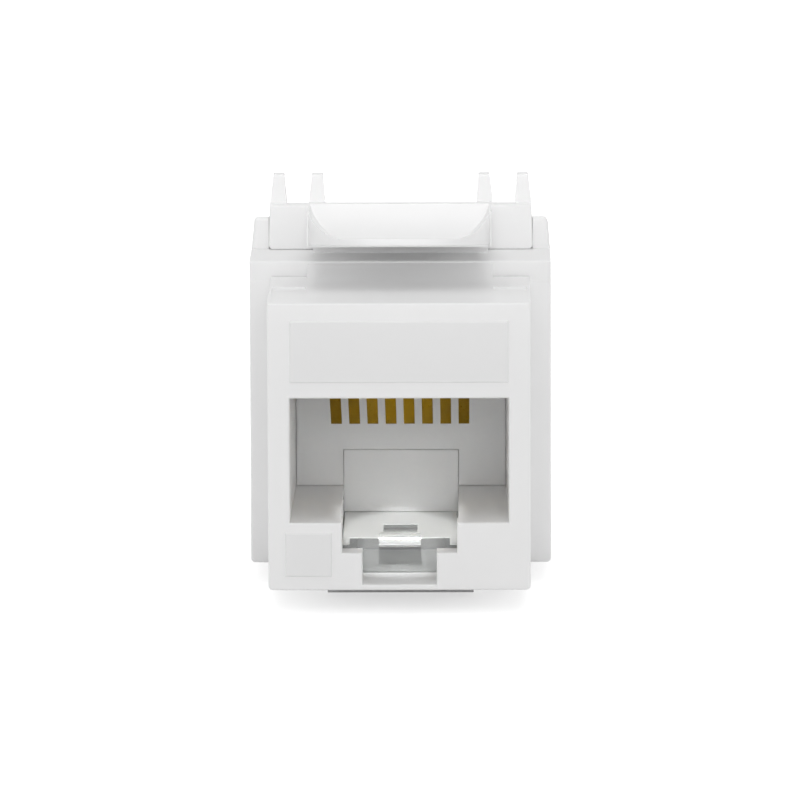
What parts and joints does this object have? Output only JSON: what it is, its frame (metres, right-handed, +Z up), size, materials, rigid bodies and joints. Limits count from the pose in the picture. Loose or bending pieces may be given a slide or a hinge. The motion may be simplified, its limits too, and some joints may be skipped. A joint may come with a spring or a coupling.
{
  "type": "keystone jack",
  "caption": "Snap-in modular socket module with a stepped plug port, sprung contacts, a thumb latch and upright punch-down wire slots.",
  "frame": {"origin": "middle of the base: the centre of the overall box in plan, on the plane of the hook's and the foot's underside", "axes": "+X to the right as seen from the plug side, +Y from the front face back into the wall, +Z up towards the release latch"},
  "size_m": [0.017, 0.0296, 0.0225],
  "materials": {
    "housing_white": "fine satin, moulded",
    "latch_white": "fine satin, moulded",
    "block_white": "fine satin, moulded",
    "cover_white": "fine satin, moulded",
    "carrier_white": "satin, moulded",
    "tray_clear": "clear, polished",
    "board_green": "solder mask over glass laminate",
    "contact_gold": "gold plated, polished",
    "terminal_tin": "tin plated, stamped"
  },
  "bodies": {
    "jack": {"front_housing": "housing_white", "contact_carrier": "carrier_white", "circuit_board": "board_green", "keyway_tray": "tray_clear", "idc_block": "block_white", "rear_cover": "cover_white", "idc_terminal_1": "terminal_tin", "idc_terminal_2": "terminal_tin", "idc_terminal_3": "terminal_tin", "idc_terminal_4": "terminal_tin", "idc_terminal_5": "terminal_tin", "idc_terminal_6": "terminal_tin", "idc_terminal_7": "terminal_tin", "idc_terminal_8": "terminal_tin"},
    "release_latch": {"latch": "latch_white"},
    "contact_1": {"contact_wire_1": "contact_gold"},
    "contact_2": {"contact_wire_2": "contact_gold"},
    "contact_3": {"contact_wire_3": "contact_gold"},
    "contact_4": {"contact_wire_4": "contact_gold"},
    "contact_5": {"contact_wire_5": "contact_gold"},
    "contact_6": {"contact_wire_6": "contact_gold"},
    "contact_7": {"contact_wire_7": "contact_gold"},
    "contact_8": {"contact_wire_8": "contact_gold"}
  },
  "joints": [
    {"name": "latch_press", "type": "hinge", "parent": "jack", "child": "release_latch", "pos_m": [0, -0.00164, 0.02023], "axis": [1, 0, 0], "range_deg": [0, 15], "stiffness_Nm_per_rad": 0.5},
    {"name": "contact_1_flex", "type": "hinge", "parent": "jack", "child": "contact_1", "pos_m": [-0.00357, -0.01224, 0.01328], "axis": [1, 0, 0], "range_deg": [0, 16], "stiffness_Nm_per_rad": 0.024},
    {"name": "contact_2_flex", "type": "hinge", "parent": "jack", "child": "contact_2", "pos_m": [-0.00255, -0.01224, 0.01328], "axis": [1, 0, 0], "range_deg": [0, 16], "stiffness_Nm_per_rad": 0.024},
    {"name": "contact_3_flex", "type": "hinge", "parent": "jack", "child": "contact_3", "pos_m": [-0.00153, -0.01224, 0.01328], "axis": [1, 0, 0], "range_deg": [0, 16], "stiffness_Nm_per_rad": 0.024},
    {"name": "contact_4_flex", "type": "hinge", "parent": "jack", "child": "contact_4", "pos_m": [-0.00051, -0.01224, 0.01328], "axis": [1, 0, 0], "range_deg": [0, 16], "stiffness_Nm_per_rad": 0.024},
    {"name": "contact_5_flex", "type": "hinge", "parent": "jack", "child": "contact_5", "pos_m": [0.00051, -0.01224, 0.01328], "axis": [1, 0, 0], "range_deg": [0, 16], "stiffness_Nm_per_rad": 0.024},
    {"name": "contact_6_flex", "type": "hinge", "parent": "jack", "child": "contact_6", "pos_m": [0.00153, -0.01224, 0.01328], "axis": [1, 0, 0], "range_deg": [0, 16], "stiffness_Nm_per_rad": 0.024},
    {"name": "contact_7_flex", "type": "hinge", "parent": "jack", "child": "contact_7", "pos_m": [0.00255, -0.01224, 0.01328], "axis": [1, 0, 0], "range_deg": [0, 16], "stiffness_Nm_per_rad": 0.024},
    {"name": "contact_8_flex", "type": "hinge", "parent": "jack", "child": "contact_8", "pos_m": [0.00357, -0.01224, 0.01328], "axis": [1, 0, 0], "range_deg": [0, 16], "stiffness_Nm_per_rad": 0.024}
  ]
}
